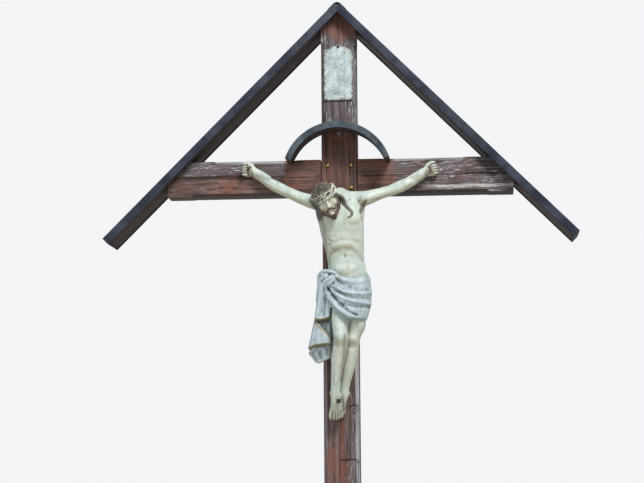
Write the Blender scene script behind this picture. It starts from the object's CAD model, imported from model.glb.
import bpy
import numpy as np
from math import cos, pi, radians, sin, tau
from mathutils import Euler, Matrix, Vector


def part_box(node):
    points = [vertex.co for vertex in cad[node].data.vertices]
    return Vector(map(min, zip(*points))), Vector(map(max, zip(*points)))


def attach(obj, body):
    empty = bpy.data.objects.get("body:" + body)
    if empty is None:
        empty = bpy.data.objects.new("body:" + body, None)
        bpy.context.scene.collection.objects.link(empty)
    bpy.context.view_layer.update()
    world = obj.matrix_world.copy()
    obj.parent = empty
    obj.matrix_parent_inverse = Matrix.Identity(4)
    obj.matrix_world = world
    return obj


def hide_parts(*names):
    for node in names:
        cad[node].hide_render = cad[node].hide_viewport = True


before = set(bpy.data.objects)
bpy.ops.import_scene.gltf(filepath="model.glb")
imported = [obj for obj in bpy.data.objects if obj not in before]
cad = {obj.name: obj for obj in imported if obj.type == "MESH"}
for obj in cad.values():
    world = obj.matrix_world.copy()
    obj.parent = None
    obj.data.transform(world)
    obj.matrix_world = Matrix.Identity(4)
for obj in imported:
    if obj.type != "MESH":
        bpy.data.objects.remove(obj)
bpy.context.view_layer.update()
bpy.ops.object.select_all(action="DESELECT")


# Viewpoint
# The picture was taken from eye height about nine metres in front of the cross, a little to its right,
# with a long lens that looks up. Its angles are in degrees, and the point it looks at lies on the post.
FRAME_WIDTH_PX = 644
FOCAL_PX = 1988
SENSOR_WIDTH = 36
CAMERA_REACH = 9.0
CAMERA_AZIMUTH = 4.58
CAMERA_RISE = 6.99
CAMERA_ROLL = -0.44
LOOK_LEFT = 0.081
LOOK_DOWN = 0.295

FACE_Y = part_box("post")[0].y
beam_low, beam_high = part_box("crossbeam")
BEAM_Z = (beam_low.z + beam_high.z) / 2
look_at = Vector((-LOOK_LEFT, FACE_Y, BEAM_Z - LOOK_DOWN))
azimuth, rise = radians(CAMERA_AZIMUTH), radians(CAMERA_RISE)
backward = Vector((sin(azimuth) * cos(rise), -cos(azimuth) * cos(rise), -sin(rise)))

bpy.ops.object.camera_add(location=look_at + CAMERA_REACH * backward)
camera = bpy.context.object
camera.name = "photo_camera"
camera.rotation_euler = (backward.to_track_quat("Z", "Y").to_matrix()
                         @ Matrix.Rotation(radians(CAMERA_ROLL), 3, "Z")).to_euler()
camera.data.sensor_width = SENSOR_WIDTH
camera.data.lens = SENSOR_WIDTH * FOCAL_PX / FRAME_WIDTH_PX
camera.data.clip_end = 60
bpy.context.scene.camera = camera


# Studio
# A pale floor that keeps the shadow, a white surround, one broad soft lamp above and to the right, and weaker
# ones on the left and behind, as on a dull day.
def feed(tree, node, values):
    """Gives inputs of a node their values, which are plain ones or sockets of other nodes."""
    for socket, value in values.items():
        if isinstance(value, bpy.types.NodeSocket):
            tree.links.new(value, node.inputs[socket])
        else:
            node.inputs[socket].default_value = value


def put(tree, kind, values=None, **settings):
    node = tree.nodes.new("ShaderNode" + kind)
    for name, value in settings.items():
        setattr(node, name, value)
    feed(tree, node, values or {})
    return node


def fresh_material(name):
    material = bpy.data.materials.new(name)
    material.use_nodes = True
    tree = material.node_tree
    shader = tree.nodes["Principled BSDF"]
    return material, tree, shader


def soft_lamp(name, place, size, watts, colour):
    bpy.ops.object.light_add(type="AREA", location=place)
    lamp = bpy.context.object
    lamp.name = name
    lamp.data.shape = "DISK"
    lamp.data.size = size
    lamp.data.energy = watts
    lamp.data.color = colour
    aim = Vector((0, 0, BEAM_Z - 0.4)) - Vector(place)
    lamp.rotation_euler = aim.to_track_quat("-Z", "Y").to_euler()


soft_lamp("key_lamp", place=(2.2, -4.4, 7.4), size=2.2, watts=430, colour=(1.0, 0.985, 0.96))
soft_lamp("fill_lamp", place=(-4.5, -4.0, 3.4), size=4.0, watts=60, colour=(0.93, 0.96, 1.0))
soft_lamp("rear_lamp", place=(-1.5, 5.0, 6.0), size=4.0, watts=150, colour=(1.0, 1.0, 1.0))

bpy.ops.mesh.primitive_plane_add(size=60, location=(0, 0, -0.001))
floor = bpy.context.object
floor.name = "studio_floor"
floor_paint, tree, shader = fresh_material("studio_floor_paint")
feed(tree, shader, {"Base Color": (0.80, 0.80, 0.79, 1), "Roughness": 0.9})
floor.data.materials.append(floor_paint)

world = bpy.data.worlds.new("studio_surround")
world.use_nodes = True
bpy.context.scene.world = world
tree = world.node_tree
tree.nodes.clear()
paths = put(tree, "LightPath")
lit = put(tree, "Background", {"Color": (0.86, 0.90, 0.95, 1), "Strength": 0.36})
seen = put(tree, "Background", {"Color": (0.90, 0.91, 0.92, 1), "Strength": 1.0})
choice = put(tree, "MixShader", {0: paths.outputs["Is Camera Ray"], 1: lit.outputs[0], 2: seen.outputs[0]})
put(tree, "OutputWorld", {"Surface": choice.outputs[0]})
bpy.context.scene.view_settings.view_transform = "Standard"


# Post and crossbeam
# Two softwood timbers halved into each other, once stained red-brown. Rain has greyed what the roof and the
# hood don't shelter. Their corners are chamfered, and the arrises are worn round.
STAIN_DARK, STAIN_RED, STAIN_ORANGE, STAIN_BROWN = (88, 60, 52), (134, 94, 80), (152, 88, 62), (62, 44, 40)
GREY_DARK, GREY_PALE, GREY_BROWN = (68, 62, 64), (118, 110, 112), (96, 72, 64)
BARE_DARK, BARE_PALE, FLECK_PALE = (96, 96, 102), (176, 176, 178), (184, 184, 188)
GRAIN_DARK, CRACK_DARK, MOSS_DARK = (34, 26, 26), (24, 17, 16), (46, 38, 30)
OLD_WHITE, RUST_RED, CHALKY_RED = (206, 204, 200), (118, 66, 50), (140, 92, 80)
GABLE_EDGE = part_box("name_plate")[1].z - BEAM_Z
GABLE_SLOPE = 0.7
# Either timber has one long check, which starts that far from the crossing and lies that far off the middle
CHECK_FROM = {"post": 0.62, "crossbeam": 0.09}
CHECK_OFF = {"post": -0.004, "crossbeam": 0.004}


def linear(red, green, blue):
    """A colour as seen on a screen, 0 to 255, in the values that shaders take."""
    return tuple((v / 255 / 12.92 if v <= 10 else ((v / 255 + 0.055) / 1.055) ** 2.4)
                 for v in (red, green, blue)) + (1,)


def joined(kind, values, **settings):
    """Adds a node to the tree of the sockets that lead into it, and returns its outputs."""
    tree = next(value.id_data for value in values.values() if isinstance(value, bpy.types.NodeSocket))
    return put(tree, kind, values, **settings).outputs


def here_in(tree):
    return put(tree, "TexCoord").outputs["Object"]


def facing_in(tree):
    """The three numbers of the direction that the surface faces."""
    return joined("SeparateXYZ", {0: put(tree, "NewGeometry").outputs["Normal"]})


def stretched(place, along):
    return joined("VectorMath", {0: place, 1: along}, operation="MULTIPLY")[0]


def cloudy(place, scale, detail=3, rough=0.55):
    return joined("TexNoise", {"Vector": place, "Scale": scale, "Detail": detail, "Roughness": rough})[0]


def ramp(value, low, high, bottom=0.0, top=1.0):
    """Rises or falls smoothly from bottom at the low value to top at the high one."""
    return joined("MapRange", {0: value, 1: low, 2: high, 3: bottom, 4: top},
                  interpolation_type="SMOOTHSTEP")[0]


def maths(operation, first, second=0.0):
    return joined("Math", {0: first, 1: second}, operation=operation)[0]


def plus(first, second):
    return maths("ADD", first, second)


def less(first, second):
    return maths("SUBTRACT", first, second)


def unsigned(value):
    return maths("ABSOLUTE", value)


def times(*factors):
    product = factors[0]
    for factor in factors[1:]:
        product = maths("MULTIPLY", product, factor)
    return product


def layered(colour, *coats):
    """Lays coats over a colour, one after the other. Each coat is its share and its tone."""
    for share, tone in coats:
        under, over = (linear(*shade) if isinstance(shade, tuple) else shade for shade in (colour, tone))
        colour = joined("Mix", {0: share, 6: under, 7: over}, data_type="RGBA")[2]
    return colour


def relief(height, strength, depth):
    """The normals of a surface with small bumps, whose depth is in metres."""
    return joined("Bump", {"Strength": strength, "Distance": depth, "Height": height})[0]


def effect_group(name, *masks):
    """An effect that materials share: it is given a place and gives masks."""
    group = bpy.data.node_groups.new(name, "ShaderNodeTree")
    group.interface.new_socket("Place", in_out="INPUT", socket_type="NodeSocketVector")
    for mask in masks:
        group.interface.new_socket(mask, in_out="OUTPUT", socket_type="NodeSocketFloat")
    return group, group.nodes.new("NodeGroupInput").outputs["Place"], group.nodes.new("NodeGroupOutput")


# Old wood seen along its grain, which runs along the place's third axis and sways a little
old_wood, place, masks = effect_group("old_wood", "Fibre", "Streak", "Crack", "Fleck", "Patch")
bends = joined("TexNoise", {"Vector": stretched(place, (5, 5, 2.2)), "Scale": 1.0, "Detail": 2})[1]
grain = joined("VectorMath", {0: place, 1: stretched(bends, (0.030, 0.030, 0.0))}, operation="ADD")[0]


def grained(across, lengthwise, detail=3, rough=0.55):
    """Clouds drawn out along the grain, by their number in a metre across it and along it."""
    return cloudy(stretched(grain, (across, across, lengthwise)), 1, detail, rough)


crack_line = ramp(unsigned(less(grained(38, 0.9), 0.5)), 0.0, 0.008, 0.9, 0)
crack_area = ramp(grained(11, 1.9, 1), 0.54, 0.62)
fleck = ramp(grained(190, 27, 4, 0.7), 0.54, 0.62)
fleck_area = ramp(grained(26, 7, 4), 0.42, 0.56)
feed(old_wood, masks, {"Fibre": grained(520, 16, 4, 0.7), "Streak": grained(105, 3.2, 6, 0.62),
                       "Crack": times(crack_line, crack_area), "Fleck": times(fleck, fleck_area),
                       "Patch": cloudy(place, 9, 5, 0.62)})


def weathered_post(x, height, ragged, facing):
    """Masks of what is greyed, between the gable and the hood and again below the feet, of what is bare,
    along the arrises, and of what lies below the gable's shelter."""
    over_hood = ramp(plus(height, ragged), 0.205, 0.225)
    under_slope = plus(less(height, times(unsigned(x), GABLE_SLOPE)), ragged)
    below_gable = ramp(under_slope, GABLE_EDGE - 0.03, GABLE_EDGE + 0.02, 1, 0)
    below_feet = ramp(height, -0.72, -1.15, 0, 0.85)
    right_side = ramp(plus(x, times(ragged, 0.6)), -0.02, 0.06, 0.5, 1.0)
    grey = maths("MAXIMUM", times(over_hood, below_gable), times(below_feet, right_side))
    arris = ramp(unsigned(times(facing[0], facing[1])), 0.2, 0.42)
    sunny = ramp(facing[0], -0.2, 0.4, 0.25, 1.0)
    return grey, times(arris, sunny, ramp(plus(height, ragged), -0.55, -0.75, 0.25, 1.0)), below_gable


def weathered_beam(x, height, ragged, facing):
    """Masks of what is greyed, beyond the hood, most along the upper half and on the right, and of what is
    bare, along the upper arris."""
    beyond_hood = ramp(plus(unsigned(x), times(ragged, 0.2)), 0.238, 0.256)
    upper = ramp(plus(height, times(ragged, 0.5)), -0.01, 0.03, 0.34, 1.0)
    right_side = times(ramp(x, 0.2, 0.3), 0.9)
    grey = times(beyond_hood, maths("MAXIMUM", upper, right_side))
    return grey, times(ramp(times(facing[2], facing[1]), -0.2, -0.42), beyond_hood)


def timber_paint(timber):
    """The stain of the post or the crossbeam: greyed, flecked with white, checked, and bare at the edges."""
    material, tree, shader = fresh_material(timber + "_stain")
    upright = timber == "post"
    here = here_in(tree)
    x, y, z = joined("SeparateXYZ", {0: here})
    facing = facing_in(tree)
    along = here if upright else joined("CombineXYZ", {0: z, 1: y, 2: x})[0]
    wood = joined("Group", {"Place": along}, node_tree=old_wood)
    height = less(z, BEAM_Z)
    ragged = times(less(wood["Patch"], 0.5), 0.16)
    if upright:
        grey, bare, below_gable = weathered_post(x, height, ragged, facing)
        across, lengthwise = x, times(height, -1.0)
    else:
        grey, bare = weathered_beam(x, height, ragged, facing)
        across, lengthwise = height, unsigned(x)
    grey = times(grey, ramp(wood["Streak"], 0.32, 0.46, 0.6, 1.0))

    sway = times(less(wood["Streak"], 0.5), 0.045)
    off = unsigned(plus(less(across, CHECK_OFF[timber]), sway))
    start = CHECK_FROM[timber]
    check = times(ramp(off, 0.0016, 0.0030, 0.9, 0.0), ramp(lengthwise, start, start + 0.02),
                  ramp(facing[1], -0.6, -0.9))

    stain = layered(STAIN_DARK, (ramp(wood["Streak"], 0.38, 0.62), STAIN_RED),
                    (ramp(wood["Patch"], 0.53, 0.64, 0, 0.7), STAIN_ORANGE),
                    (ramp(wood["Patch"], 0.46, 0.34, 0, 0.7), STAIN_BROWN))
    worn = layered(GREY_DARK, (ramp(wood["Streak"], 0.38, 0.60), GREY_PALE),
                   (ramp(wood["Patch"], 0.54, 0.62, 0, 0.5), GREY_BROWN))
    pale = layered(BARE_DARK, (ramp(wood["Streak"], 0.38, 0.58), BARE_PALE))
    colour = layered(stain, (times(grey, 0.92), worn),
                     (ramp(wood["Fibre"], 0.35, 0.7, 0.30, 0.0), GRAIN_DARK),
                     (times(grey, wood["Fleck"], 0.9), FLECK_PALE),
                     (times(bare, ramp(wood["Fibre"], 0.3, 0.55, 0.45, 1)), pale),
                     (maths("MAXIMUM", wood["Crack"], check), CRACK_DARK))
    if upright:
        # Rust has run down the middle from the lower wire, and the red under the gable has turned chalky
        rusty = times(ramp(unsigned(plus(x, sway)), 0.022, 0.008), ramp(height, -1.02, -1.10, 0, 0.6))
        chalky = times(less(1.0, below_gable), 0.6, ramp(wood["Streak"], 0.36, 0.5))
        colour = layered(colour, (rusty, RUST_RED), (chalky, CHALKY_RED))
    else:
        # Old white shows in a thin band on the right, and the underside stays dark and mossy
        low = plus(height, times(ragged, 0.08))
        band = times(ramp(low, -0.062, -0.056), ramp(low, -0.042, -0.048), ramp(wood["Fibre"], 0.42, 0.56),
                     ramp(x, 0.36, 0.42), 0.9)
        colour = layered(colour, (band, OLD_WHITE), (ramp(facing[2], -0.3, -0.6, 0, 0.85), MOSS_DARK))
    height = plus(less(times(wood["Fibre"], 0.5), times(wood["Crack"], 1.6)), times(wood["Streak"], 0.7))
    feed(tree, shader, {"Base Color": colour, "Roughness": ramp(grey, 0, 1, 0.62, 0.88),
                        "Normal": relief(less(height, times(check, 1.6)), 0.75, 0.0016)})
    return material


def chosen(*pieces):
    """Selects these pieces alone and makes the first one active."""
    bpy.ops.object.select_all(action="DESELECT")
    for piece in pieces:
        piece.select_set(True)
    bpy.context.view_layer.objects.active = pieces[0]


def merged(gap):
    """Merges points of the active piece that lie closer than the gap, and turns its faces outwards."""
    bpy.ops.object.mode_set(mode="EDIT")
    bpy.ops.mesh.select_all(action="SELECT")
    bpy.ops.mesh.remove_doubles(threshold=gap)
    bpy.ops.mesh.normals_make_consistent(inside=False)
    bpy.ops.object.mode_set(mode="OBJECT")


def copied(name, *nodes):
    """One working copy of these solids."""
    chosen(*(cad[node] for node in nodes))
    bpy.ops.object.duplicate()
    if len(nodes) > 1:
        bpy.ops.object.join()
    piece = bpy.context.object
    piece.name = name
    piece.data.name = name
    piece.data.materials.clear()
    merged(0.00002)
    return piece


def worn_edges(width):
    bpy.ops.object.mode_set(mode="EDIT")
    bpy.ops.mesh.select_mode(type="EDGE")
    bpy.ops.mesh.select_all(action="DESELECT")
    bpy.ops.mesh.edges_select_sharp(sharpness=radians(25))
    bpy.ops.mesh.bevel(offset=width, segments=2, profile=0.6, clamp_overlap=True)
    bpy.ops.object.mode_set(mode="OBJECT")
    bpy.ops.object.shade_smooth_by_angle(angle=radians(35))


def placed(piece, slot, material, *nodes):
    piece.data.materials.clear()
    piece.data.materials.append(material)
    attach(piece, "root")
    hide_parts(*nodes)
    bpy.ops.object.select_all(action="DESELECT")


for node in ("post", "crossbeam"):
    timber = copied("old_" + node, node)
    worn_edges(0.0022)
    placed(timber, "timber", timber_paint(node), node)


# Roof
# Two board slopes under folded sheet metal, painted slate blue and dulled, with a folded cap along the ridge.
# The boards show from below, dark brown. Thin lichen and runs of dirt lie on the upper side.
SHEET_DIRT, LICHEN = (34, 34, 38), (150, 156, 150)
BOARD_DARK, BOARD_BROWN, BOARD_GREY, BOARD_GRAIN, BOARD_CRACK = (
    (46, 33, 29), (74, 54, 45), (96, 84, 72), (30, 22, 20), (20, 15, 13))


def sheet_paint(name, near, far, lichen):
    """Two mottled tones with dirt, and an amount of lichen that is fullest on what faces up."""
    material, tree, shader = fresh_material(name)
    here = here_in(tree)
    mottle = cloudy(here, 14, 4, 0.6)
    dirt = ramp(cloudy(stretched(here, (18, 34, 18)), 1, 4, 0.7), 0.56, 0.72, 0, 0.4)
    colony = times(ramp(cloudy(here, 260, 3, 0.6), 0.58, 0.66), ramp(cloudy(here, 17, 4), 0.54, 0.64),
                   ramp(facing_in(tree)[2], -0.3, 0.4, lichen * 0.75, lichen))
    colour = layered(near, (ramp(mottle, 0.35, 0.68), far), (dirt, SHEET_DIRT), (colony, LICHEN))
    height = plus(times(cloudy(here, 7, 1), 1.6), times(colony, 0.25))
    feed(tree, shader, {"Base Color": colour, "Roughness": ramp(mottle, 0.3, 0.7, 0.42, 0.62),
                        "Specular IOR Level": 0.42, "Normal": relief(height, 0.5, 0.004)})
    return material


roof_blue = sheet_paint("slate_blue_sheet", near=(33, 39, 54), far=(54, 61, 76), lichen=0.5)
for node in ("roof_sheet_left", "roof_sheet_right", "ridge_cap"):
    sheet = copied("folded_" + node, node)
    worn_edges(0.0006)
    placed(sheet, "roof_metal", roof_blue, node)


def board_paint(name):
    """Dark brown, with the grain running down either slope."""
    material, tree, shader = fresh_material(name)
    x, y, z = joined("SeparateXYZ", {0: here_in(tree)})
    along = joined("CombineXYZ", {0: y, 1: plus(unsigned(x), z), 2: less(unsigned(x), z)})[0]
    wood = joined("Group", {"Place": along}, node_tree=old_wood)
    colour = layered(BOARD_DARK, (ramp(wood["Streak"], 0.34, 0.66), BOARD_BROWN),
                     (ramp(wood["Patch"], 0.56, 0.70, 0, 0.5), BOARD_GREY),
                     (ramp(wood["Fibre"], 0.35, 0.7, 0.35, 0), BOARD_GRAIN), (wood["Crack"], BOARD_CRACK))
    height = less(wood["Fibre"], times(wood["Crack"], 1.5))
    feed(tree, shader, {"Base Color": colour, "Roughness": 0.8, "Normal": relief(height, 0.6, 0.0014)})
    return material


board_brown = board_paint("dark_brown_board")
for node in ("roof_board_left", "roof_board_right"):
    board = copied("planed_" + node, node)
    worn_edges(0.0015)
    placed(board, "roof_timber", board_brown, node)


# Hood
# A strip of board bent to an arch and nailed to the front of the post, under sheet metal turned down over its
# front edge. Its slate blue is faded greener and carries more lichen than the roof's.
hood_blue = sheet_paint("faded_hood_sheet", near=(48, 58, 66), far=(74, 86, 94), lichen=0.95)
hood = copied("folded_hood_sheet", "hood_sheet")
worn_edges(0.0006)
placed(hood, "roof_metal", hood_blue, "hood_sheet")
arch = copied("bent_hood_arch", "hood_arch")
worn_edges(0.0012)
placed(arch, "roof_timber", board_brown, "hood_arch")


# Name plate
# A bare pointed board, painted white and hung from one nail. The paint has gone dull and greenish, is crazed
# all over, and has flaked from the edges down to grey wood.
MM = 0.001
POINT_SLOPE = 0.42
PAINT_SHADED, PAINT_WHITE, PAINT_THIN = (160, 176, 178), (196, 209, 210), (128, 132, 120)
RUN_GREY, CRAZE_GREY, WOOD_DARK, WOOD_PALE = (128, 132, 122), (96, 98, 90), (74, 68, 62), (126, 120, 110)
voxel = 1.0


def fused(name, parts, size, smoothing, share=1.0):
    """Joins parts, melts them into one skin of that voxel size in mm, smooths it, thins its triangles and
    drops loose crumbs."""
    chosen(*parts)
    if len(parts) > 1:
        bpy.ops.object.join()
    piece = bpy.context.object
    melt = piece.modifiers.new("melt", "REMESH")
    melt.mode = "VOXEL"
    melt.voxel_size = size * voxel * MM
    soften = piece.modifiers.new("soften", "SMOOTH")
    soften.factor = 0.5
    soften.iterations = smoothing
    steps = [melt, soften]
    if share < 1:
        thin = piece.modifiers.new("thin", "DECIMATE")
        thin.ratio = share
        steps.append(thin)
    for step in steps:
        bpy.ops.object.modifier_apply(modifier=step.name)
    bpy.ops.object.mode_set(mode="EDIT")
    bpy.ops.mesh.select_all(action="SELECT")
    bpy.ops.mesh.separate(type="LOOSE")
    bpy.ops.object.mode_set(mode="OBJECT")
    *crumbs, piece = sorted(bpy.context.selected_objects, key=lambda part: len(part.data.vertices))
    for crumb in crumbs:
        bpy.data.meshes.remove(crumb.data)
    piece.name = name
    piece.data.name = name
    bpy.context.view_layer.objects.active = piece
    bpy.ops.object.shade_smooth()
    return piece


plate_white, tree, shader = fresh_material("flaked_white_paint")
here = here_in(tree)
x, _, z = joined("SeparateXYZ", {0: here})
wood = joined("Group", {"Place": here}, node_tree=old_wood)
plate_low, plate_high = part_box("name_plate")
from_side = less((plate_high.x - plate_low.x) / 2, unsigned(x))
from_foot = less(z, plate_low.z)
from_point = less(less(plate_high.z, times(POINT_SLOPE, unsigned(x))), z)
edge = maths("MINIMUM", maths("MINIMUM", from_side, from_foot), from_point)
torn = plus(edge, times(less(cloudy(here, 70, 4, 0.7), 0.5), 0.05))
blotch = cloudy(here, 26, 5, 0.65)
flake = times(ramp(cloudy(here, 95, 3, 0.6), 0.60, 0.64), ramp(blotch, 0.56, 0.44))
gone = maths("MAXIMUM", ramp(torn, 0.0015, 0.0035, 1, 0), flake)
cells = joined("TexVoronoi", {"Vector": stretched(here, (210, 210, 130)), "Scale": 1},
               feature="DISTANCE_TO_EDGE")["Distance"]
crazed = times(ramp(cells, 0.0, 0.04, 1, 0), ramp(cloudy(here, 34, 3), 0.50, 0.66, 0, 0.45))
runs = ramp(cloudy(stretched(here, (90, 90, 9)), 1, 4, 0.6), 0.52, 0.70, 0, 0.5)
bare_wood = layered(WOOD_DARK, (ramp(wood["Fibre"], 0.35, 0.65), WOOD_PALE))
colour = layered(PAINT_SHADED, (ramp(blotch, 0.36, 0.64), PAINT_WHITE),
                 (ramp(torn, 0.004, 0.016, 0.45, 0.0), PAINT_THIN), (runs, RUN_GREY), (crazed, CRAZE_GREY),
                 (gone, bare_wood))
height = less(less(times(blotch, 0.3), gone), times(crazed, 0.6))
feed(tree, shader, {"Base Color": colour, "Roughness": ramp(gone, 0, 1, 0.5, 0.85),
                    "Normal": relief(height, 0.8, 0.0009)})
plate = fused("bare_name_plate", [copied("plate_core", "name_plate")], size=1.6, smoothing=5, share=0.3)
placed(plate, "plate_paint", plate_white, "name_plate")


# Bolts, nuts and nails
# Four domed brass bolts clamp the halving joint, with steel nuts on washers behind. The brass is browned by
# the weather, darkest on the undersides of the domes. Nails and wire ties are dull steel with rust.
BRASS_YELLOW, BRASS_BROWN, BRASS_SHADED = (190, 168, 104), (120, 96, 58), (62, 48, 34)
STEEL_GREY, RUST_BROWN = (54, 55, 62), (64, 46, 38)

brass, tree, shader = fresh_material("browned_brass")
tarnish = ramp(cloudy(here_in(tree), 120, 4, 0.6), 0.36, 0.66)
shaded = ramp(facing_in(tree)[2], -0.1, -0.7, 0, 0.7)
colour = layered(BRASS_YELLOW, (tarnish, BRASS_BROWN), (shaded, BRASS_SHADED))
feed(tree, shader, {"Base Color": colour, "Metallic": 0.85, "Roughness": ramp(tarnish, 0, 1, 0.32, 0.5),
                    "Normal": relief(tarnish, 0.3, 0.0006)})

rusty_steel, tree, shader = fresh_material("rusted_steel")
rust = ramp(cloudy(here_in(tree), 210, 4, 0.65), 0.40, 0.60)
feed(tree, shader, {"Base Color": layered(STEEL_GREY, (rust, RUST_BROWN)), "Metallic": 0.4,
                    "Roughness": ramp(rust, 0, 1, 0.5, 0.85), "Normal": relief(rust, 0.6, 0.0006)})

for node, piece in cad.items():
    if node.startswith("bolt_"):
        slot, material = "bolt_brass", brass
    elif node.startswith("nut_") or node.startswith("wire_") or "nail" in node:
        slot, material = "nail_steel", rusty_steel
    else:
        continue
    piece.data.materials.clear()
    piece.data.materials.append(material)
    chosen(piece)
    bpy.ops.object.shade_smooth_by_angle(angle=radians(40))
    bpy.ops.object.select_all(action="DESELECT")


# Carved body
# Limewood trunk, arms and crossed legs, glued into one figure, primed and painted a pale cream. It hangs by
# the nails in the hands and leans on the one through the feet. Its measures are in mm from the post's face,
# at the middle of the crossbeam.
def on_figure(x, y, z):
    return Vector((x * MM, FACE_Y + y * MM, BEAM_Z + z * MM))


FIGURE = Matrix.Translation(on_figure(0, 0, 0)) @ Matrix.Scale(MM, 4)
UNTURNED = Matrix.Identity(4)


def lump(place, size, turn=(0, 0, 0), within=UNTURNED):
    """An egg-shaped swelling with those three half widths."""
    bpy.ops.mesh.primitive_uv_sphere_add(segments=28, ring_count=16, radius=1)
    piece = bpy.context.object
    shape = Matrix.Translation(Vector(place)) @ Euler([radians(a) for a in turn]).to_matrix().to_4x4()
    shape = within @ shape @ Matrix.Diagonal((*size, 1))
    piece.data.transform(FIGURE @ shape)
    return piece


def drawn(line, kind, points, shape):
    """Draws a spline of that kind through points, each with its radius, and makes it a mesh on the figure."""
    spline = line.splines.new(kind)
    spline.points.add(len(points) - 1)
    for spot, (x, y, z, radius) in zip(spline.points, points):
        spot.co = (x, y, z, 1)
        spot.radius = radius
    spline.order_u = 3
    spline.use_endpoint_u = kind == "NURBS"
    spline.use_cyclic_u = kind == "POLY"
    piece = bpy.data.objects.new(line.name, line)
    bpy.context.collection.objects.link(piece)
    chosen(piece)
    bpy.ops.object.convert(target="MESH")
    piece = bpy.context.object
    piece.data.transform(FIGURE @ shape)
    return piece


def rod(points, within=UNTURNED, sides=4):
    """A rounded stick through points, each (x, y, z, radius)."""
    line = bpy.data.curves.new("rod", "CURVE")
    line.dimensions = "3D"
    line.bevel_depth = 1
    line.bevel_resolution = sides
    line.use_fill_caps = True
    line.resolution_u = 5
    return drawn(line, "NURBS", points, within)


def prism(outline, front, back):
    """A block between two depths, with that outline of (x, z) places."""
    line = bpy.data.curves.new("prism", "CURVE")
    line.dimensions = "2D"
    line.fill_mode = "BOTH"
    line.extrude = (back - front) / 2
    upright = Matrix.Translation((0, (front + back) / 2, 0)) @ Matrix.Rotation(radians(90), 4, "X")
    block = drawn(line, "POLY", [(x, z, 0, 1) for x, z in outline], upright)
    merged(0.00001)
    return block


def carve_away(piece, tool):
    """Takes the tool's shape out of the piece."""
    cut = piece.modifiers.new("cut", "BOOLEAN")
    cut.operation = "DIFFERENCE"
    cut.object = tool
    bpy.context.view_layer.objects.active = piece
    bpy.ops.object.modifier_apply(modifier=cut.name)
    bpy.data.objects.remove(tool)


def averaging(mesh):
    """Returns a function that replaces values by their means over each point's neighbours, pass by pass."""
    count = len(mesh.vertices)
    edges = np.empty(len(mesh.edges) * 2, int)
    mesh.edges.foreach_get("vertices", edges)
    one, two = edges.reshape(-1, 2).T
    friends = np.maximum(np.bincount(one, minlength=count) + np.bincount(two, minlength=count), 1)

    def mean(values, passes=1):
        for _ in range(passes):
            sums = [np.bincount(one, column[two], count) + np.bincount(two, column[one], count)
                    for column in values.T]
            values = np.stack(sums, axis=1) / friends[:, None]
        return values
    return mean


def surface(mesh):
    """The places and normals of the mesh's points, one row each."""
    place, normal = np.empty(len(mesh.vertices) * 3), np.empty(len(mesh.vertices) * 3)
    mesh.vertices.foreach_get("co", place)
    mesh.vertices.foreach_get("normal", normal)
    return place.reshape(-1, 3), normal.reshape(-1, 3)


def frontal(normal, facing, fade=0.35):
    """1 on what faces the front, fading to 0 where it turns away past facing."""
    return np.clip((-normal[:, 1] - facing) / fade, 0, 1)


def closeness(place, line, width):
    """How near each place lies to a line of (x, z) places, seen from the front: 1 on it, less beside it."""
    flat = (place - np.array(on_figure(0, 0, 0)))[:, [0, 2]] / MM
    points = np.array(line if len(line) > 1 else line * 2, float)
    near = np.full(len(flat), 1e9)
    for start, end in zip(points[:-1], points[1:]):
        run = end - start
        share = np.clip((flat - start) @ run / max(run @ run, 1e-9), 0, 1)
        near = np.minimum(near, np.linalg.norm(flat - start - share[:, None] * run, axis=1))
    return np.exp(-(near / width) ** 2)


def chisel(piece, strokes, facing=0.1, easing=1):
    """Presses grooves into the front, or raises ridges where the depth is below zero. A stroke is a line of
    (x, z) places, a half width and a depth. Easing rounds the cut edges."""
    mean = averaging(piece.data)
    place, normal = surface(piece.data)
    cut = sum(depth * MM * closeness(place, line, width) for line, width, depth in strokes)
    cut = cut * frontal(normal, facing)
    place = place - mean(normal, 3) * cut[:, None]
    softness = np.clip(abs(cut) / MM, 0, 1)[:, None] * 0.6
    for _ in range(easing):
        place += (mean(place) - place) * softness
    piece.data.vertices.foreach_set("co", place.ravel())
    piece.data.update()


def fist(palm, side, tilt):
    """A closed hand, palm forward: fingers stacked at its outer end, the thumb laid over the top. Its own
    measures run outward, forward and up from the palm's middle. Also returns lines along its gaps."""
    turn = Matrix.Rotation(radians(-side * tilt), 4, "Y")
    hand = Matrix.Translation(palm) @ turn @ Matrix.Diagonal((side, -1, 1, 1))
    parts = [lump((4, -4, -1), (24, 10, 25), within=hand), lump((-10, 0, -4), (16, 12, 21), within=hand)]
    for level, reach, thick in ((15, 0, 5.3), (4, 1, 5.5), (-7, 0, 5.3), (-18, -3, 4.9)):
        finger = [(2, -8, level, thick), (18 + reach, -8, level, thick), (27 + reach, -2, level, thick),
                  (28 + reach, 9, level, thick), (24 + reach, 17, level - 0.5, thick),
                  (14 + reach, 19, level - 1, thick), (7 + reach, 15, level - 1.5, thick * 0.9),
                  (5 + reach, 10, level - 1.5, thick * 0.4)]
        parts.append(rod(finger, hand))
    parts.append(rod([(-26, 8, 10, 10), (-14, 12, 22, 9.5), (-2, 15, 29, 8.6), (10, 18, 31, 7.8),
                      (19, 20, 29, 7.2), (24, 19, 27, 5.5), (26, 18, 25, 3)], hand))
    gaps = []
    for level in (22.5, 9.5, -1.5, -12.5):
        ends = [hand @ Vector((reach, 16, level)) for reach in (5, 34)]
        gaps.append([(end.x, end.z) for end in ends])
    return parts, gaps


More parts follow.
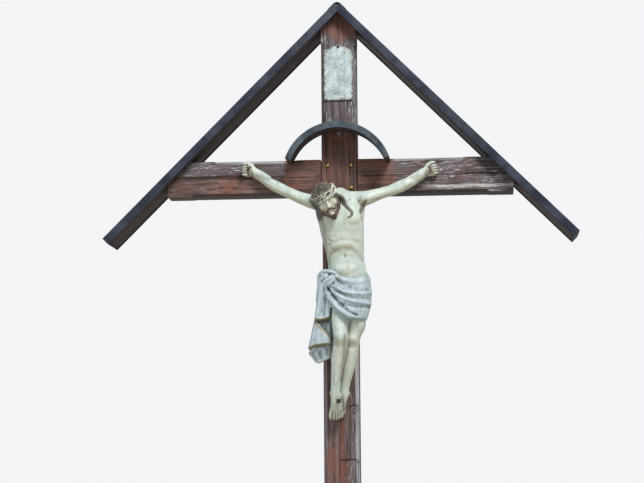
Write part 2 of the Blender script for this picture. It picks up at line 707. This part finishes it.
# The rear leg and the soles are first cut back to the outline of the feet
trunk = copied("carved_trunk", "torso", "right_arm", "left_arm", "right_leg")
rear_leg = copied("carved_rear_leg", "left_leg")
carve_away(rear_leg, prism([(46, -960), (39, -982), (33, -1000), (27, -1017), (23, -1034), (21, -1052),
                            (18, -1070), (8, -1080), (-30, -1084), (-30, -1130), (80, -1130), (80, -960)],
                           front=-46, back=20))
carve_away(trunk, prism([(-60, -1066), (8, -1066), (30, -1048), (30, -1114), (-60, -1114)],
                        front=-120, back=-30))
muscles = [
    # Breast, belly, shoulders, neck and collarbones
    lump((-36, -92, -196), (46, 33, 48), (0, 0, -14)), lump((58, -94, -200), (48, 33, 50), (0, 0, 14)),
    lump((16, -92, -300), (62, 26, 60)), lump((32, -74, -408), (56, 30, 60)),
    lump((36, -70, -432), (64, 38, 46)), lump((-112, -70, -121), (40, 33, 31)),
    lump((117, -70, -113), (42, 33, 31)),
    rod([(-8, -64, -92, 34), (-22, -92, -104, 33), (-40, -122, -128, 30)]),
    rod([(10, -94, -118, 9), (52, -94, -108, 9), (98, -82, -96, 10)]),
    rod([(-16, -94, -118, 9), (-56, -94, -112, 9), (-98, -82, -104, 10)]),
    # Upper and lower arms
    lump((-206, -54, -86), (46, 27, 24), (0, 24, 0)), lump((-300, -44, -38), (44, 25, 23), (0, 33, 0)),
    lump((208, -54, -84), (46, 27, 24), (0, -18, 0)), lump((300, -44, -46), (44, 25, 24), (0, -24, 0)),
    # Thighs, kneecaps, calves, shins and ankles
    lump((10, -92, -664), (38, 44, 70)), lump((82, -78, -664), (38, 42, 68)),
    lump((9, -124, -742), (23, 27, 31)), lump((63, -88, -742), (22, 25, 30)),
    lump((-10, -88, -828), (28, 30, 62), (0, 6, 0)), lump((52, -48, -828), (27, 28, 60), (0, 12, 0)),
    rod([(2, -120, -790, 14), (-6, -112, -850, 13), (-14, -98, -920, 12), (-19, -92, -970, 11)]),
    rod([(54, -78, -790, 13), (44, -68, -850, 12), (30, -54, -920, 11), (20, -46, -970, 10)]),
    lump((-36, -80, -984), (11, 13, 14)), lump((-1, -80, -994), (10, 13, 13)),
    lump((33, -33, -986), (10, 12, 13))]
body = fused("carved_body", [trunk, rear_leg] + muscles, size=4.0, smoothing=9)

right_fist, right_gaps = fist(palm=(-412, -18, 31), side=-1, tilt=4)
left_fist, left_gaps = fist(palm=(418, -18, 18), side=1, tilt=14)
wrists = [rod([(-318, -37, -19, 22), (-345, -33, -1, 23), (-366, -29, 12, 23), (-388, -26, 25, 22),
               (-402, -23, 31, 18), (-409, -21, 33, 11)]),
          rod([(318, -37, -33, 22), (345, -33, -18, 23), (370, -29, -2, 23), (392, -26, 11, 22),
               (407, -23, 17, 18), (414, -21, 19, 11)])]
toes = []
for x, y, z, thick in ((-43.5, -49, -1094, 9.3), (-29.5, -54, -1097, 7.3), (-17, -55, -1096, 7.0),
                       (-5, -53, -1093, 6.8), (6.5, -49, -1088, 6.5)):
    toes.append(rod([(x * 0.72, y - 16, -1044, thick), (x * 0.94, y - 10, z + 26, thick),
                     (x, y - 4, z + 11, thick), (x, y, z, thick * 0.96), (x, y + 4, z - 5, thick * 0.5)]))
for x, z, thick in ((15, -1069, 7.2), (6, -1078, 6.8), (-3, -1083, 6.4)):
    toes.append(rod([(x * 0.9, -18, -1046, thick), (x, -26, z + 12, thick), (x, -24, z, thick),
                     (x, -20, z - 4, thick * 0.5)]))
instep = [lump((-15, -54, -1046), (28, 20, 34), (-8, 0, 0)), lump((-19, -42, -1068), (31, 18, 22)),
          lump((2, -24, -1046), (20, 15, 30), (-8, 0, 0))]
body = fused("carved_body", [body] + right_fist + left_fist + wrists + toes + instep, size=2.0, smoothing=2,
             share=0.42)

finger_gaps = right_gaps + left_gaps
chisel(body, [(gap, 1.9, 4.2) for gap in finger_gaps] + [
    # Breastbone, undersides of the breast, arch of the ribs, ribs, middle of the belly and the navel
    ([(6, -128), (14, -190), (24, -258)], 9, 1.5),
    ([(-64, -244), (-40, -262), (-6, -270), (24, -262)], 9, 1.1),
    ([(30, -264), (62, -274), (94, -264), (112, -238)], 9, 1.1),
    ([(-44, -378), (-24, -354), (4, -342), (31, -338), (62, -346), (88, -364), (108, -390)], 12, 1.9),
    ([(-44, -360), (-22, -336), (4, -324), (31, -320), (62, -328), (90, -346)], 12, -1.4),
    ([(-46, -322), (-14, -312), (18, -302), (72, -306), (108, -318)], 7, 1.3),
    ([(-70, -268), (-44, -286)], 6, 1.2), ([(112, -266), (86, -288)], 6, 1.2),
    ([(112, -292), (88, -312)], 6, 1.2), ([(31, -348), (29, -380), (34, -440)], 6, 1.3),
    ([(29, -374)], 4.2, 4.5), ([(29, -374)], 9, 1.2),
    ([(-50, -392), (-42, -430), (-16, -460)], 11, 2.4), ([(112, -400), (114, -432), (98, -462)], 11, 2.4),
    # Wound in the side, and the hollows at the arms' roots
    ([(-52, -296), (-43, -300), (-31, -308)], 2.6, 2.4), ([(-50, -305), (-34, -315)], 4, -1.2),
    ([(92, -128), (104, -150), (108, -184)], 9, 4.5), ([(-86, -132), (-92, -160)], 9, 3),
    ([(34, -128), (66, -122), (96, -112)], 8, 1.8),
    # Arms: the bend of the elbow and the long hollows of the lower arm
    ([(214, -61), (236, -46)], 2.4, 1.6), ([(250, -64), (296, -46), (346, -14)], 9, 1.8),
    ([(-246, -64), (-296, -40), (-346, -4)], 9, 1.8), ([(150, -86), (206, -74)], 8, 1.2),
    ([(-148, -100), (-204, -80)], 8, 1.2),
    # Legs: above and under the kneecaps, shins and calves
    ([(-14, -778), (6, -788), (25, -778)], 8, 2.6), ([(-14, -714), (8, -704), (30, -714)], 9, 1.8),
    ([(44, -778), (62, -788), (80, -778)], 8, 2.4), ([(46, -714), (64, -704), (82, -714)], 9, 1.6),
    ([(6, -630), (12, -694)], 12, 1.8), ([(84, -680), (76, -700)], 12, 1.4),
    ([(-22, -806), (-26, -880), (-30, -950)], 8, 1.8), ([(20, -800), (10, -870), (-2, -950)], 8, 2.0),
    ([(74, -800), (62, -870), (42, -950)], 8, 1.8),
    ([(0, -796), (-7, -860), (-15, -940)], 6, -1.8), ([(54, -796), (42, -870), (27, -940)], 6, -1.6),
    # Tendons of the front foot, and the clefts between its toes
    ([(-30, -1022), (-42, -1068)], 3.2, -1.8), ([(-20, -1026), (-28, -1070)], 3.0, -1.8),
    ([(-12, -1034), (-16, -1070)], 3.0, -1.8), ([(-2, -1034), (-5, -1068)], 3.0, -1.8),
    ([(8, -1030), (7, -1062)], 3.0, -1.6),
    ([(-33, -1064), (-36, -1080), (-36.5, -1103)], 1.9, 3.6), ([(-22, -1068), (-23.5, -1104)], 1.8, 3.0),
    ([(-10.5, -1070), (-11, -1102)], 1.8, 2.8), ([(1, -1068), (1, -1097)], 1.8, 2.6)])


def stored(piece, name, values):
    """Keeps one value for each point of the piece, for its paint to read."""
    piece.data.attributes.new(name, "FLOAT", "POINT").data.foreach_set("value", values)


def marked(piece, name, strokes, facing=0.1):
    """Stores how near each place of the front lies to strokes, each a line, a half width and a strength."""
    place, normal = surface(piece.data)
    total = np.max([strength * closeness(place, line, width) for line, width, strength in strokes], axis=0)
    stored(piece, name, total * frontal(normal, facing))


def hollows(piece, passes):
    """Stores where the surface is hollow, above 0, or proud, below 0."""
    mean = averaging(piece.data)
    place, normal = surface(piece.data)
    deep = ((mean(place, passes) - place) * normal).sum(axis=1, keepdims=True) / MM
    stored(piece, "Hollow", mean(deep, 3).ravel())


# Old oil paint on carved wood: chips, a net of fine cracks, soft mottling and grime
old_paint, place, masks = effect_group("old_paint", "Chip", "Crackle", "Mottle", "Grime")
chips = times(ramp(cloudy(place, 130, 5, 0.62), 0.645, 0.665), ramp(cloudy(place, 14, 2), 0.50, 0.62))
shift = stretched(joined("TexNoise", {"Vector": place, "Scale": 60.0, "Detail": 3})[1], (0.008, 0.008, 0.008))
warped = joined("VectorMath", {0: place, 1: shift}, operation="ADD")[0]
cells = joined("TexVoronoi", {"Vector": warped, "Scale": 150.0}, feature="DISTANCE_TO_EDGE")["Distance"]
feed(old_paint, masks, {"Chip": chips, "Crackle": ramp(cells, 0.0, 0.035, 1, 0),
                        "Mottle": cloudy(place, 17, 5, 0.6),
                        "Grime": cloudy(stretched(place, (44, 44, 13)), 1, 5, 0.65)})


def carved_paint(name, pale, deep, grime, chip, under, dull=0.6, sunk=1.0, rubbed=None, marks=()):
    """Paint mottled in two tones, with grime in its hollows, another tone where it is chipped, one on its
    undersides and one where it is rubbed. Each mark is an attribute, its tone and its strength."""
    material, tree, shader = fresh_material(name)

    def attribute(name):
        return put(tree, "Attribute", attribute_name=name).outputs["Fac"]

    age = joined("Group", {"Place": here_in(tree)}, node_tree=old_paint)
    colour = layered(pale, (ramp(age["Mottle"], 0.36, 0.62), deep),
                     (ramp(age["Grime"], 0.52, 0.74, 0, 0.32), grime),
                     (ramp(facing_in(tree)[2], 0.25, -0.8, 0, 0.75), under),
                     (ramp(attribute("Hollow"), 0.0, 2.2, 0, sunk), grime),
                     (times(age["Crackle"], ramp(age["Grime"], 0.54, 0.70, 0, 0.16)), grime),
                     (age["Chip"], chip))
    if rubbed:
        colour = layered(colour, (ramp(attribute("Hollow"), -0.15, -0.8, 0, 0.65), rubbed))
    for mark, tone, strength in marks:
        colour = layered(colour, (times(attribute(mark), strength), tone))
    height = plus(times(age["Chip"], -1.0), times(age["Crackle"], -0.12))
    feed(tree, shader, {"Base Color": colour, "Normal": relief(height, 0.5, 0.0007),
                        "Roughness": ramp(age["Mottle"], 0.35, 0.65, dull - 0.08, dull + 0.10)})
    return material


hollows(body, 24)
marked(body, "Brown", [(gap, 3.3, 1.0) for gap in finger_gaps] + [
    # Left armpit, wound, breast, navel, elbow, belly, side and wrists
    ([(100, -176), (104, -158), (112, -141), (126, -125)], 6.5, 1.0), ([(109, -164), (117, -146)], 6, 1.0),
    ([(104, -180), (106, -206)], 5, 0.45), ([(124, -126), (190, -110)], 4, 0.45),
    ([(-53, -295), (-43, -300), (-29, -309)], 3.2, 0.75), ([(28, -229)], 2.6, 1.0), ([(29, -374)], 3.2, 1.0),
    ([(216, -60), (234, -47)], 2.4, 0.9),
    ([(-40, -371), (-22, -352), (5, -341), (31, -337), (63, -345), (89, -363), (107, -387)], 7, 0.26),
    ([(-44, -322), (-13, -311), (18, -300), (72, -306), (108, -317)], 8, 0.26),
    ([(-78, -190), (-62, -250), (-58, -330), (-62, -410)], 9, 0.42),
    ([(-318, -15), (-345, -1), (-372, 8)], 10, 0.45), ([(330, -22), (362, -8)], 9, 0.4),
    # Above the cloth, knees and shins, toes, ankle and the nails in the hands
    ([(-6, -450), (25, -465), (61, -473), (96, -468), (128, -453)], 10, 0.35),
    ([(-18, -740), (-2, -790)], 10, 0.4), ([(28, -730), (22, -820), (4, -930)], 6, 0.6),
    ([(-23, -1070), (-23.5, -1101)], 2.2, 0.9), ([(-11, -1074), (-11, -1099)], 1.8, 0.8),
    ([(1, -1072), (1.5, -1094)], 1.8, 0.8), ([(-35, -1068), (-36.5, -1101)], 2.4, 1.0),
    ([(10, -1010), (16, -1060)], 7, 0.8), ([(-6, -1021)], 15, 0.35),
    ([(-417, 56), (-414, 38), (-410, 12)], 6, 1.0), ([(-406, 38), (-394, 20), (-392, 6)], 9, 0.8),
    ([(418, 42), (415, 28), (410, 4)], 6, 1.0),
    ([(408, 24), (398, 8), (396, -6)], 9, 0.75), ([(-48, -1096), (8, -1080)], 9, 0.25)], -0.45)
# Strands of hair that are only painted, on the shoulder and the breast
marked(body, "Lock", [([(-112, -126), (-104, -150), (-94, -176), (-84, -204)], 13, 1.0),
                      ([(-126, -120), (-112, -140)], 8, 0.9),
                      ([(58, -116), (43, -127), (33, -141)], 2.4, 0.6)])
body_paint = carved_paint("aged_cream_paint", pale=(209, 219, 210), deep=(188, 202, 194), grime=(121, 96, 66),
                          chip=(84, 66, 50), under=(178, 170, 132), dull=0.55, sunk=0.7,
                          marks=(("Brown", (92, 66, 42), 0.9), ("Lock", (52, 58, 74), 0.9)))
placed(body, "painted_body", body_paint, "torso", "right_arm", "left_arm", "right_leg", "left_leg")


# Head
# Carved from the same limewood and set on the neck. The face is calm, with lowered eyes, and its features lie
# on the usual thirds: eyes at mid height, nose a third below the brow, and mouth a third below the nose.
HEAD = Matrix.Translation((-50, -146, -124)) @ Euler((radians(24), radians(-24), 0)).to_matrix().to_4x4()
TOP_FROM = 30
TOP_LOWERED = 0.78


def on_side(side, *points):
    """Points of the head's left half, or the same ones on its right when side is -1."""
    return [(side * x, y, z, thick) for x, y, z, thick in points]


skull = copied("carved_skull", "head")
skull_frame = FIGURE @ HEAD
for spot in skull.data.vertices:
    place = skull_frame.inverted() @ spot.co
    place.z = min(place.z, TOP_FROM + TOP_LOWERED * (place.z - TOP_FROM))
    spot.co = skull_frame @ place
for side in (-1, 1):
    carve_away(skull, lump((side * 18, -60, -2), (12.5, 13, 9.5), within=HEAD))

# Brow, chin, nose and lips, and on either side the eye, cheek, nostril, eyebrow, lids and jaw
features = [
    skull, lump((0, -20, 30), (41, 33, 26), within=HEAD), lump((0, -48, -36), (18, 9, 14), within=HEAD),
    lump((0, -48, -57), (14, 11, 11), within=HEAD),
    rod([(0, -54, 12, 4.2), (0, -59, -4, 4.4), (0, -66, -17, 5.8), (0, -64, -21, 4.8)], HEAD),
    rod([(-13, -51, -37.5, 1.6), (-5, -56.5, -35.4, 2.7), (0, -57, -36.2, 2.5), (5, -56.5, -35.4, 2.7),
         (13, -51, -37.5, 1.6)], HEAD),
    rod([(-10, -51.5, -40.5, 1.8), (0, -56.5, -42, 3.6), (10, -51.5, -40.5, 1.8)], HEAD)]
for side in (-1, 1):
    features += [
        lump((side * 18, -45.5, -2), (10.5, 8.5, 7.4), within=HEAD),
        lump((side * 27, -36, -17), (15, 15, 14), within=HEAD),
        lump((side * 6.5, -58, -20), (4.4, 5.4, 4), within=HEAD),
        rod(on_side(side, (5, -56, 9, 3.8), (18, -56, 13.5, 4.6), (33, -45, 8, 4)), HEAD),
        rod(on_side(side, (8.5, -49.5, -4, 1.5), (18, -56.5, -5.5, 2.2), (27.5, -46.5, -4.5, 1.5)), HEAD),
        rod(on_side(side, (9.5, -49, -6, 1.5), (18, -54, -9.6, 2.2), (26, -46.5, -7, 1.5)), HEAD),
        rod(on_side(side, (43, -6, -24, 9), (34, -26, -46, 9), (12, -41, -59, 9)), HEAD)]
head = fused("carved_head", features, size=1.4, smoothing=3, share=0.6)
hollows(head, 10)
face_paint = carved_paint("aged_face_paint", pale=(216, 218, 202), deep=(196, 202, 186), grime=(112, 84, 60),
                          chip=(84, 66, 50), under=(178, 168, 132), dull=0.55, sunk=0.7)
placed(head, "painted_body", face_paint, "head")


# Hair, beard and crown
# Hair and beard are limewood too, cut in wavy strands and painted brown. The crown is plaited from five twigs
# with the thorns left on, painted pale, and sits low on the hair.
SKULL_LEVELS = [(-66, -30, 13, 11), (-54, -27, 25, 24), (-36, -20, 37, 39), (-12, -11, 44, 49),
                (14, -3, 48, 55), (36, 2, 45, 52), (49, 5, 37, 44), (58, 7, 27, 32), (66, 7, 21, 25),
                (71, 7, 13, 15), (75, 7, 3, 4)]


def skull_point(angle, z, out):
    """A place past the skull by out, at that height. The angle runs from the face, 0, round the ear, 90. A
    level of the skull is its height, how far back its middle lies, and its half width and half depth."""
    heights, *measures = zip(*SKULL_LEVELS)
    middle, wide, deep = (float(np.interp(z, heights, measure)) for measure in measures)
    return ((wide + out) * sin(radians(angle)), middle - (deep + out) * cos(radians(angle)), z)


HAIR_STRANDS = 38
HAIR_FROM_ANGLE = 56
STRAND_STEPS = 11
FRINGE_STRANDS = 15


def thin_rod(points, within=HEAD):
    return rod(points, within, sides=3)


hair_parts = [lump((0, 9, 21), (47, 52, 52), within=HEAD), lump((0, 7, 73), (10, 10, 6), within=HEAD),
              lump((0, 22, -26), (43, 37, 40), within=HEAD), lump((0, -1, 30), (42, 47, 36), within=HEAD)]
for count in range(HAIR_STRANDS):
    angle = HAIR_FROM_ANGLE + count * (360 - 2 * HAIR_FROM_ANGLE) / (HAIR_STRANDS - 1)
    drop = 66 + 68 * min(1, (180 - abs(angle - 180)) / 100)
    strand = []
    for step in range(STRAND_STEPS + 1):
        share = step / STRAND_STEPS
        wave = 6 * sin(5.5 * share * pi + count * 1.3) * share + 18 * (1 - share) ** 2 + 3 * sin(count * 3.7)
        out = 5.0 + 1.8 * sin(count * 2.4 + 5 * share) + 4 * max(0, share - 0.6)
        thick = 3.1 + 1.5 * abs(sin(count * 1.9)) - 0.7 * share
        strand.append((*skull_point(angle + wave, 76 - drop * share ** 1.2, out), thick))
    hair_parts.append(thin_rod(strand))
for count in range(FRINGE_STRANDS):
    angle = -58 + count * 8.2
    thick = 3.0 + abs(sin(count * 2.3))
    strand = []
    for step in range(7):
        wave = 5 * sin(step * 1.1 + count)
        strand.append((*skull_point(angle + wave, 75 - 9 * step, 4.6 - 0.2 * step), thick))
    hair_parts.append(thin_rod(strand))
for side in (-1, 1):
    for count in range(6):
        hair_parts.append(thin_rod(on_side(
            side, (46 + count % 2, -31 + 6 * count, 26, 3.6), (51 + count % 3, -28 + 6 * count, 4, 4.0),
            (50 + count % 2, -27 + 6 * count, -18, 4.0), (47 - count % 3, -25 + 5 * count, -42, 3.6),
            (38 + count % 2, -26 + 5 * count, -62, 2.4))))
        hair_parts.append(thin_rod(on_side(
            side, (45, -24 + 6 * count, 16, 6), (47, -20 + 6 * count, -16, 7),
            (41, -18 + 5 * count, -44, 5))))


def lock(line, thick, count, twist):
    """Strands that wind round a line, as in a wavy lock."""
    last = len(line) - 1
    core = [(x, y, z, thick * (0.62 - 0.3 * step / last)) for step, (x, y, z) in enumerate(line)]
    made = [thin_rod(core, UNTURNED)]
    for strand in range(count):
        points = []
        for step, (x, y, z) in enumerate(line):
            turn = tau * strand / count + step * twist
            share = step / last
            spread = thick * (0.84 - 0.50 * share)
            points.append((x + spread * cos(turn), y + 0.8 * spread * sin(turn), z + 0.3 * spread * sin(turn),
                           thick * (0.29 - 0.10 * share)))
        made.append(thin_rod(points, UNTURNED))
    return made


right_wave = [(-24, -122, -96), (-7, -124, -97), (6, -122, -101), (19, -119, -110), (27, -117, -124),
              (31, -119, -139), (42, -122, -155), (56, -125, -168), (66, -127, -180), (65, -128, -191),
              (56, -128, -200), (47, -127, -204)]
inner_hair = [(-14, -112, -100), (-4, -112, -117), (3, -114, -132), (7, -116, -148), (4, -118, -164)]
left_lock = [(-109, -98, -124), (-105, -104, -142), (-94, -110, -161), (-81, -112, -178), (-74, -110, -194),
             (-71, -108, -210)]
hair_parts += lock(right_wave, thick=10, count=6, twist=0.45) + lock(inner_hair, thick=13, count=7, twist=0.4)
hair_parts += lock(left_lock, thick=13, count=7, twist=0.4)
hair_parts += lock([(x + 16, y - 4, z + 2) for x, y, z in inner_hair[1:-1]], thick=6, count=5, twist=0.6)
hair = fused("carved_hair", hair_parts, size=1.35, smoothing=0, share=0.4)
hollows(hair, 9)
hair_paint = carved_paint("worn_hair_paint", pale=(92, 86, 78), deep=(62, 56, 52), grime=(22, 20, 24),
                          chip=(158, 150, 136), under=(52, 40, 34), rubbed=(140, 131, 116))
placed(hair, "painted_hair", hair_paint, "hair")

# The beard's strands run down the jaw, the moustache's out from the lip, and the chin's straight down
beard_parts = []
for side in (-1, 1):
    for count in range(5):
        thick, proud = (4.2, 0) if count % 2 else (2.5, 2.6)
        beard_parts.append(thin_rod(on_side(
            side, (46 - count, -14 - 4 * count, -12 - 3 * count, thick * 0.8),
            (44 - 1.6 * count, -22 - 4 * count - proud, -33 - 2.5 * count, thick),
            (33 - 2.2 * count, -35 - 2.6 * count - proud, -53 - 2 * count, thick),
            (17 - 1.6 * count, -44 - 1.8 * count - proud, -69 - count, thick),
            (6 - count, -46, -84 - 1.5 * count, thick * 0.45))))
    for lift in (-1.2, 0.4, 2.0):
        beard_parts.append(thin_rod(on_side(
            side, (1.5, -59 - 0.5 * lift, -29.5 - lift, 1.8), (8, -60.5, -31 - 1.3 * lift, 2.4),
            (17, -56.5, -36.5 - 1.3 * lift, 2.5), (26, -50, -47 - lift, 2.2), (31, -43, -59 - lift, 1.6))))
for count in range(9):
    x = (count - 4) * 4.0
    proud = 2.4 if count % 2 else 0
    beard_parts.append(thin_rod([(x * 0.9, -53 + 0.02 * x * x, -50, 1.8),
                                 (x * 1.05, -55 - proud + 0.02 * x * x, -62, 2.9),
                                 (x * 0.85 - 1.5, -51 - proud, -74, 2.8), (x * 0.4, -47, -88, 1.3)]))
beard_parts.append(lump((0, -46, -66), (17, 8, 13), within=HEAD))
beard = fused("carved_beard", beard_parts, size=1.25, smoothing=0, share=0.7)
hollows(beard, 8)
beard_paint = carved_paint("worn_beard_paint", pale=(112, 84, 68), deep=(84, 56, 44), grime=(34, 22, 20),
                           chip=(150, 128, 104), under=(62, 40, 32))
placed(beard, "painted_hair", beard_paint, "beard")

CROWN = HEAD @ Matrix.Translation((0, 1, 27)) @ Matrix.Rotation(radians(-8), 4, "Y")
RING_WIDE, RING_DEEP = 57, 64
RING_STEPS = 48
THORNS = 26

# Two twigs lie level, and the others are wound over and under them so many times
crown_parts = []
for turns, height, phase, thick in ((0, 13, 0.5, 2.9), (0, -13, 0.5, 2.9), (4, 13, 0.4, 2.8),
                                    (4, 13, 3.5, 2.6), (7, 9, 1.2, 2.2)):
    ring = []
    for step in range(RING_STEPS + 1):
        angle = tau * step / RING_STEPS
        swing = turns * angle + phase
        level = height * sin(swing) if turns else height + 2.0 * sin(3 * angle + height)
        out = 3.2 * cos(swing) if turns else 0.8 * sin(5 * angle + height)
        knot = 1.3 if step % 8 == 3 else 1.0
        ring.append(((RING_WIDE + out) * cos(angle), (RING_DEEP + out) * sin(angle), level, thick * knot))
    crown_parts.append(thin_rod(ring, CROWN))
for count in range(THORNS):
    angle = tau * count / THORNS + 0.09
    base, up = ((12, 13), (-10, -10), (4, 4), (13, 17), (-3, 9))[count % 5]
    turn = angle + (0.17 if count % 2 else -0.15)
    crown_parts.append(thin_rod([(RING_WIDE * cos(angle), RING_DEEP * sin(angle), base, 2.3),
                                 (62 * cos(turn), 69 * sin(turn), base + up * 0.5, 1.7),
                                 (63 * cos(turn), 69 * sin(turn), base + up, 0.8)], CROWN))
crown = fused("plaited_thorn_crown", crown_parts, size=1.2, smoothing=0, share=0.6)
hollows(crown, 8)
crown_paint = carved_paint("pale_thorn_paint", pale=(226, 227, 214), deep=(166, 165, 148), grime=(34, 29, 26),
                           chip=(74, 60, 46), under=(96, 92, 76))
placed(crown, "painted_thorns", crown_paint, "crown_of_thorns")


# Loincloth
# Limewood, carved in one with the hips: a cloth wound round them in deep slanting folds and knotted on one
# hip. Its long end hangs in stiff pleats. It is painted bluish white, with gilded hems on the long end.
cloth_core = copied("cloth_core", "loincloth")
carve_away(cloth_core, prism([(-140, -437), (-50, -440), (-3, -461), (17, -470), (39, -474), (69, -476),
                              (91, -472), (112, -465), (132, -453), (170, -440), (170, -400), (-140, -400)],
                             front=-190, back=-30))
tail_core = copied("tail_core", "cloth_tail")
carve_away(tail_core, prism([(-130, -548), (-98, -548), (-87, -510), (-74, -488), (-130, -488)],
                            front=-110, back=-20))
# The hanging end's outer side is cut in upright pleats
for y, thick, start, end in ((-82, 4.5, -88, -106), (-67, 5.5, -91, -111), (-51, 5, -95, -115)):
    carve_away(tail_core, rod([(start, y, -495, thick), ((start + end) / 2 + 1.5, y - 1, -575, thick * 0.8),
                               (end, y + 1, -668, thick * 1.1)]))
for y, thick in ((-63, 4.5), (-50, 5)):
    carve_away(tail_core, rod([(-118, y, -650, thick), (-130, y - 1, -725, thick * 0.8),
                               (-143, y, -800, thick * 0.7)]))
folds = [
    [(-14, -106, -463, 6), (26, -117, -482, 7), (61, -119, -492, 7), (97, -109, -491, 7),
     (134, -68, -473, 6)],
    [(-44, -88, -498, 7), (-10, -116, -519, 8), (26, -130, -538, 8), (66, -132, -546, 8),
     (106, -120, -546, 8), (139, -87, -539, 6)],
    [(-55, -64, -506, 7), (-15, -117, -544, 8), (22, -136, -569, 8), (62, -142, -581, 8), (97, -133, -586, 8),
     (138, -92, -591, 6)],
    [(-58, -72, -535, 9), (-36, -108, -572, 11), (-10, -132, -604, 11), (20, -147, -632, 10),
     (49, -150, -650, 10), (79, -147, -654, 7)]]
knot = [
    [(-2, -108, -456, 8), (-27, -104, -471, 9), (-49, -100, -486, 10), (-67, -92, -502, 9),
     (-79, -86, -526, 8), (-86, -84, -552, 7), (-88, -84, -580, 5)],
    [(-8, -106, -474, 7), (-32, -104, -490, 9), (-50, -98, -507, 8), (-62, -92, -531, 7),
     (-70, -88, -560, 5)],
    [(-6, -98, -460, 8), (-22, -92, -447, 9), (-44, -84, -440, 10), (-68, -76, -440, 11),
     (-86, -68, -452, 11), (-92, -64, -474, 10), (-90, -68, -500, 8)],
    [(-30, -100, -520, 8), (-42, -96, -545, 8), (-44, -92, -575, 7), (-42, -88, -620, 5)]]
gathers = [
    [(-58, -80, -458, 9), (-80, -78, -481, 10), (-89, -75, -512, 8), (-97, -75, -572, 4)],
    [(-56, -64, -456, 10), (-83, -61, -477, 10), (-93, -59, -508, 9), (-101, -59, -572, 5)],
    [(-56, -46, -458, 9), (-82, -46, -480, 10), (-95, -44, -510, 8), (-103, -44, -575, 4)]]
cloth_parts = [cloth_core, tail_core] + [rod(bend) for bend in folds + knot + gathers]
cloth = fused("carved_cloth", cloth_parts, size=2.2, smoothing=2, share=0.62)

slanting_hem = [(-54, -512), (-29, -547), (-5, -576), (22, -603), (49, -626), (84, -644)]
under_hem = [(-112, -661), (-92, -664), (-68, -661), (-42, -652)]
chisel(cloth, [
    # Between the folds of the front, and their crests
    ([(-11, -480), (17, -502), (53, -519), (88, -527), (131, -526)], 5, 5.0),
    ([(-30, -514), (0, -536), (30, -554), (66, -564), (100, -566), (138, -566)], 5.5, 4.5),
    ([(8, -590), (31, -597), (71, -604), (106, -607), (139, -607)], 6, 5.0), (slanting_hem, 4, 7.0),
    ([(-6, -466), (26, -486), (61, -496), (97, -496), (134, -480)], 8, -2.5),
    ([(-10, -519), (26, -538), (66, -546), (106, -546), (139, -540)], 7, -2.5),
    ([(-15, -544), (22, -569), (62, -581), (97, -586), (139, -591)], 7, -2.5),
    ([(-36, -566), (-12, -598), (16, -626), (46, -646), (80, -654)], 8, -3.0),
    # The knot and the pleats that fall from it
    ([(-14, -462), (-40, -478), (-60, -494), (-72, -516)], 2.6, 3.5),
    ([(-20, -456), (-44, -460), (-66, -470), (-80, -488)], 4.5, 6.0), ([(-76, -462)], 6, 5.0),
    ([(-84, -462), (-92, -476)], 4, 3.0), ([(-64, -520), (-66, -553), (-65, -590), (-68, -640)], 5, 4.0),
    ([(-52, -541), (-45, -601), (-43, -640)], 6, -3.0), ([(-83, -568), (-92, -600), (-104, -644)], 7, -3.0),
    ([(-75, -560), (-80, -600), (-86, -645)], 3, 2.0),
    # The hanging end below its upper hem
    (under_hem, 3, 4.5), ([(-112, -654), (-92, -656), (-68, -652), (-42, -644)], 3, -1.6),
    ([(-44, -660), (-50, -684), (-70, -704), (-92, -694)], 5, 2.5), ([(-60, -670), (-64, -700)], 4, 2.0),
    ([(-116, -690), (-126, -730), (-134, -775)], 4, 2.5),
    ([(-104, -700), (-108, -745), (-110, -770)], 4, 2.5), ([(-84, -712), (-82, -745), (-82, -765)], 4, 2.5),
    ([(-140, -793), (-128, -784), (-101, -776), (-65, -773), (-40, -775)], 3.5, 5),
    ([(-98, -800), (-86, -822)], 12, 5)], facing=-0.15, easing=5)
hollows(cloth, 16)
marked(cloth, "Gold", [
    ([(-114, -655), (-93, -657), (-68, -653), (-39, -645)], 4.2, 1.0),
    ([(-111, -668), (-91, -689), (-69, -709), (-51, -727), (-36, -748), (-27, -761)], 4.2, 1.0),
    ([(-143, -786), (-128, -775), (-101, -767), (-65, -763), (-38, -765), (-25, -768)], 4.0, 1.0),
    ([(-143, -789), (-135, -813), (-119, -840), (-103, -854), (-83, -847), (-61, -836), (-43, -828),
      (-36, -792), (-27, -770)], 4.2, 1.0)], -0.2)
marked(cloth, "Shade", [
    (under_hem, 3.0, 1.0), (slanting_hem, 3.4, 0.95), ([(-110, -786), (-122, -806), (-104, -836)], 10, 0.85),
    ([(-88, -796), (-84, -828)], 9, 0.7), ([(-60, -790), (-56, -812)], 9, 0.7),
    ([(-46, -660), (-38, -700), (-26, -745)], 5, 0.6), ([(-66, -474)], 5, 1.0), ([(-86, -460)], 5, 0.9),
    ([(-36, -478), (-58, -494)], 2.2, 0.7), ([(-75, -602), (-76, -622)], 2.6, 0.7),
    ([(-65, -530), (-65, -584)], 5, 0.45), ([(8, -592), (31, -599), (71, -606), (106, -609)], 5, 0.4)], -0.2)
cloth_paint = carved_paint("blue_white_cloth_paint", pale=(194, 209, 216), deep=(170, 186, 192),
                           grime=(92, 88, 82), chip=(62, 56, 52), under=(140, 146, 138), sunk=0.8,
                           marks=(("Shade", (44, 42, 42), 0.85), ("Gold", (160, 142, 78), 0.95)))
placed(cloth, "painted_cloth", cloth_paint, "loincloth", "cloth_tail")
